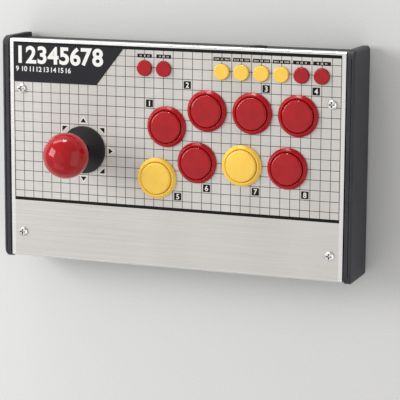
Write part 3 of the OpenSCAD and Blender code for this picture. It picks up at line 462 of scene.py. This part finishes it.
def make_looks():
    """Every material by name: the slots of the record, the rims, the inks and the floor."""
    return {
        "steel": brushed_steel(),
        "film": printed_film(),
        "label": satin_label(),
        "charcoal": moulded("charcoal", CHARCOAL, CHARCOAL_WORN, 0.5),
        "black_paint": powder_coat(),
        "rubber": rubber(),
        "bright": plated_metal("bright", CHROME, 0.16),
        "plated": plated_metal("plated", ZINC, 0.32),
        "red": gloss("red", RED, RED_DEEP),
        "yellow": gloss("yellow", YELLOW, YELLOW_DEEP),
        "red_rim": satin_rim("red_rim", RED, RED_DEEP),
        "yellow_rim": satin_rim("yellow_rim", YELLOW, YELLOW_DEEP),
        "black_plastic": moulded("black_plastic", BLACK_PLASTIC, BLACK_PLASTIC_WORN, 0.42),
        "white_plastic": moulded("white_plastic", WHITE_PLASTIC, WHITE_PLASTIC_WORN, 0.42),
        "board": circuit_board(),
        "wire": wire_sleeve(),
        "black_ink": ink("black_ink", BLACK_INK),
        "white_ink": ink("white_ink", WHITE_INK),
        "pale_ink": ink("pale_ink", PALE_INK),
        "floor": floor_paper(),
    }


def dress(looks):
    """Gives each CAD node the material of its slot in the record, and the rims their own."""
    for subpart in frame["record"]["subparts"]:
        node, look = subpart["node"], subpart["material_slot"]
        if node.startswith("housing_"):
            look += "_rim"
        for slot in frame["nodes"][node].material_slots:
            slot.material = looks[look]


# Pieces of ink

INK_THICK = 0.02 * MM
WELD = 1e-7                     # points closer than this, in metres, become one
BOLD = 0.018                    # how far a digit's outline is let out, as a share of its size


def link(thing):
    """Puts an object in the scene."""
    bpy.context.scene.collection.objects.link(thing)
    return thing


def make_object(name, mesh, look):
    """An object made of a bmesh, with one material."""
    data = bpy.data.meshes.new(name)
    mesh.to_mesh(data)
    mesh.free()
    data.materials.append(look)
    return link(bpy.data.objects.new(name, data))


def prism(mesh, outline, z, height):
    """Adds a closed prism to a bmesh, from an outline of (x, y) that runs counter-clockwise."""
    low = [mesh.verts.new((x, y, z)) for x, y in outline]
    high = [mesh.verts.new((x, y, z + height)) for x, y in outline]
    mesh.faces.new(high)
    mesh.faces.new(list(reversed(low)))
    for i, corner in enumerate(low):
        j = (i + 1) % len(low)
        mesh.faces.new([corner, low[j], high[j], high[i]])


def printed(name, outlines, level, look):
    """A piece of ink: prisms of one height, on the film at level 0 or on that ink at level 1."""
    mesh = bmesh.new()
    for outline in outlines:
        prism(mesh, outline, FILM_TOP + level * INK_THICK, INK_THICK)
    piece = make_object(name, mesh, look)
    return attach(piece, "root")


def digits(name, rows, size, ground, look, bold=BOLD):
    """Plain numbers of ink at the ground's height, centred on their places: (number, x, y)."""
    joined = bmesh.new()
    for number, x, y in rows:
        text = bpy.data.curves.new(f"{name}_{number}", "FONT")
        text.body = str(number)
        text.size = size
        text.align_x = "CENTER"
        text.extrude = INK_THICK / 2
        text.offset = size * bold
        shape = link(bpy.data.objects.new(text.name, text))
        bpy.context.view_layer.update()
        corners = [Vector(c) for c in shape.bound_box]
        centre = sum(corners, Vector()) / len(corners)
        shape.location = (x - centre.x, y - centre.y, ground + INK_THICK / 2)
        bpy.context.view_layer.update()
        mesh = bpy.data.meshes.new_from_object(shape)
        mesh.transform(shape.matrix_world)
        joined.from_mesh(mesh)
        bpy.data.objects.remove(shape)
    bmesh.ops.remove_doubles(joined, verts=joined.verts, dist=WELD)
    piece = make_object(name, joined, look)
    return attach(piece, "root")


def rounded(cx, cy, w, h, r, steps=5):
    """A rectangle with round corners, as an outline."""
    points = []
    for quarter, (sx, sy) in enumerate(((1, 1), (-1, 1), (-1, -1), (1, -1))):
        for k in range(steps + 1):
            a = math.pi / 2 * (quarter + k / steps)
            points.append((cx + sx * (w / 2 - r) + r * math.cos(a),
                           cy + sy * (h / 2 - r) + r * math.sin(a)))
    return points


def turned(points, angle, at):
    """Points turned about the origin and then moved to a place."""
    c, s = math.cos(angle), math.sin(angle)
    return [(at.x + c * x - s * y, at.y + s * x + c * y) for x, y in points]


# Arrows round the lever: their distance from it, their size, and how far their grounds show
ARROW_AT = 22.9 * MM
ARROW_BASE = 5.0 * MM
ARROW_TALL = 3.4 * MM
CORNER_AT = 15.6 * MM
CORNER_LEG = 4.4 * MM
ARROW_HALO = 0.9 * MM

# How far the sharp points of a grown arrow move, for each unit that its sides move
TIP_GROW = 2
BASE_GROW = 1.8
LEG_GROW = 1.6


def arrow(grow):
    """An arrow head that points along +x, grown on every side."""
    tip = ARROW_TALL / 2 + grow * TIP_GROW
    back = -ARROW_TALL / 2 - grow
    half = ARROW_BASE / 2 + grow * BASE_GROW
    return [(back, -half), (tip, 0), (back, half)]


def corner_arrow(grow):
    """A right-angled arrow with its square corner out along +x and +y, grown on every side."""
    out = CORNER_LEG / 2 + grow
    back = -CORNER_LEG / 2 - grow * LEG_GROW
    return [(out, back), (out, out), (back, out)]


def direction_arrows(looks):
    """Eight arrows round the lever, each on a pale ground."""
    for name, grow, level, look, slot in (
        ("arrow_grounds", ARROW_HALO, 0, "pale_ink", "film"),
        ("direction_arrows", 0.0, 1, "black_ink", "label"),
    ):
        outlines = []
        for k in range(4):
            angle = k * math.pi / 2
            c, s = math.cos(angle), math.sin(angle)
            at = LEVER + Vector((c, s, 0)) * ARROW_AT
            outlines.append(turned(arrow(grow), angle, at))
            at = LEVER + Vector((c - s, s + c, 0)) * CORNER_AT
            outlines.append(turned(corner_arrow(grow), angle, at))
        printed(name, outlines, level, looks[look])


# Where each button's number tile lies, from the button's middle, in millimetres
TILE_STEPS = [
    (-14.3, 17.1), (-16.1, 18.9), (10.6, 18.9), (13.4, 18.9),
    (16.8, -13.5), (7.7, -19.2), (10.8, -19.2), (13.7, -19.2),
]
TILE = 5.8 * MM
TILE_ROUND = 0.5 * MM
TILE_DIGIT = 5.6 * MM


def number_tiles(looks):
    """A black tile with a white number beside each button."""
    spots = [b + Vector((dx, dy, 0)) * MM for b, (dx, dy) in zip(BUTTONS, TILE_STEPS)]
    tiles = [rounded(p.x, p.y, TILE, TILE, TILE_ROUND) for p in spots]
    printed("number_tiles", tiles, 0, looks["black_ink"])
    rows = [(n + 1, p.x, p.y) for n, p in enumerate(spots)]
    digits("tile_numbers", rows, TILE_DIGIT, FILM_TOP + INK_THICK, looks["white_ink"])


# Bars over the small caps: the width of each, and the ticks on each side of its number
BAR_NARROW = 11.9 * MM
BAR_WIDE = 13.6 * MM
BARS = [(BAR_NARROW, 2)] * 2 + [(BAR_WIDE, 4)] * 4 + [(BAR_WIDE, 2)] * 2
BAR_STEP = 9.4 * MM             # from the cap's middle to the bar's
BAR_TALL = 2.9 * MM
BAR_ROUND = 0.25 * MM
BAR_DIGIT = 2.2 * MM
TICK_WIDE = 0.34 * MM
TICK_TALL = 1.2 * MM
TICK_FIRST = 2.7 * MM           # from the bar's middle
TICK_STEP = 0.95 * MM


def cap_bars(looks):
    """A black bar above each small cap, with a small white number between plain ticks."""
    bars = []
    rows = []
    ticks = []
    for n, (cap, (wide, ticks_a_side)) in enumerate(zip(CAPS, BARS)):
        y = cap.y + BAR_STEP
        bars.append(rounded(cap.x, y, wide, BAR_TALL, BAR_ROUND))
        rows.append((FIRST_CAP_NUMBER + n, cap.x, y))
        for k in range(ticks_a_side):
            aside = TICK_FIRST + k * TICK_STEP
            for x in (cap.x - aside, cap.x + aside):
                ticks.append(rounded(x, y, TICK_WIDE, TICK_TALL, TICK_WIDE / 4, steps=1))
    printed("cap_bars", bars, 0, looks["black_ink"])
    printed("bar_ticks", ticks, 1, looks["white_ink"])
    digits("bar_numbers", rows, BAR_DIGIT, FILM_TOP + INK_THICK, looks["white_ink"])


# Two rows of plain numbers on the corner label, placed from its rear left corner: large ones
# for the buttons and small ones for the caps
TITLE_IN = 5.7 * MM
TITLE_DOWN = 8.3 * MM
TITLE_STEP = 9.4 * MM
TITLE_DIGIT = 18.2 * MM
TITLE_BOLD = 0.03
NOTE_IN = 3.3 * MM
NOTE_DOWN = 19.4 * MM
NOTE_STEP = 6.2 * MM
NOTE_DIGIT = 5.4 * MM


def label_numbers(looks):
    """Two rows of plain numbers on the corner label."""
    rear, left = LABEL_HIGH.y, LABEL_LOW.x
    large = [(n + 1, left + TITLE_IN + n * TITLE_STEP, rear - TITLE_DOWN)
             for n in range(len(BUTTONS))]
    small = [(n + FIRST_CAP_NUMBER, left + NOTE_IN + n * NOTE_STEP, rear - NOTE_DOWN)
             for n in range(len(CAPS))]
    white = looks["white_ink"]
    digits("label_numbers", large, TITLE_DIGIT, LABEL_HIGH.z, white, bold=TITLE_BOLD)
    digits("label_notes", small, NOTE_DIGIT, LABEL_HIGH.z, white)


# Studio

CAMERA_AT = Vector((509.1, 224.7, 1352.2)) * MM
CAMERA_TURN = (-10.269, 20.468, 0.354)      # degrees about x, y and z
CAMERA_LENS = 167.66
CAMERA_SENSOR = 36.0
CENTRE = Vector((0, 0, PANEL_TOP))          # what the lamps are turned to
FLOOR_SIDE = 24.0
FLOOR_CELLS = 8
SKY = (1.0, 0.99, 0.98, 1.0)
SKY_STRENGTH = 0.5

# Lamps: name, shape, direction from the centre, distance, width and height in metres, watts
LAMPS = (
    # The square highlight at the ball's left
    ("window", "RECTANGLE", (-0.77, 0.25, 0.587), 1.6, 0.78, 0.88, 15.2),
    # The highlights on the rear slopes of the rims, with the rear lamp
    ("rear_bank", "RECTANGLE", (-0.419, 0.897, 0.11), 1.2, 1.1, 0.26, 4.2),
    ("front_card", "RECTANGLE", (-0.343, -0.731, 0.591), 1.2, 1.0, 0.5, 0.9),
    ("rear_lamp", "DISK", (-0.14, 0.985, 0.05), 1.2, 0.3, 0.3, 4.2),
    # Broad, soft light on the right cheek and on the panel
    ("right_card", "RECTANGLE", (0.93, -0.16, 0.33), 2.4, 3.2, 1.9, 14.0),
    ("top_bank", "RECTANGLE", (-0.343, -0.18, 0.922), 1.5, 1.6, 1.6, 2.7),
)


def make_camera():
    """The camera, at the photograph's viewing angle."""
    data = bpy.data.cameras.new("camera")
    data.lens = CAMERA_LENS
    data.sensor_width = CAMERA_SENSOR
    camera = link(bpy.data.objects.new("camera", data))
    camera.location = CAMERA_AT
    camera.rotation_euler = [math.radians(a) for a in CAMERA_TURN]
    bpy.context.scene.camera = camera


def make_lamp(name, shape, towards, distance, width, height, watts):
    """An area light at a distance from the centre, turned to face it."""
    data = bpy.data.lights.new(name, "AREA")
    data.shape = shape
    data.size = width
    data.size_y = height
    data.energy = watts
    lamp = link(bpy.data.objects.new(name, data))
    lamp.location = CENTRE + Vector(towards).normalized() * distance
    lamp.rotation_euler = (CENTRE - lamp.location).to_track_quat("-Z", "Y").to_euler()
    lamp.visible_camera = False


def make_studio(looks):
    """Sky, lamps and a pale floor."""
    scene = bpy.context.scene
    scene.view_settings.view_transform = "Standard"
    scene.world = bpy.data.worlds.new("studio")
    scene.world.use_nodes = True
    sky = scene.world.node_tree.nodes["Background"]
    sky.inputs["Color"].default_value = SKY
    sky.inputs["Strength"].default_value = SKY_STRENGTH
    for lamp in LAMPS:
        make_lamp(*lamp)
    mesh = bmesh.new()
    bmesh.ops.create_grid(mesh, x_segments=FLOOR_CELLS, y_segments=FLOOR_CELLS,
                          size=FLOOR_SIDE / 2)
    make_object("floor", mesh, looks["floor"])


def main():
    """Builds the whole scene."""
    looks = make_looks()
    make_camera()
    dress(looks)
    direction_arrows(looks)
    number_tiles(looks)
    cap_bars(looks)
    label_numbers(looks)
    make_studio(looks)


main()
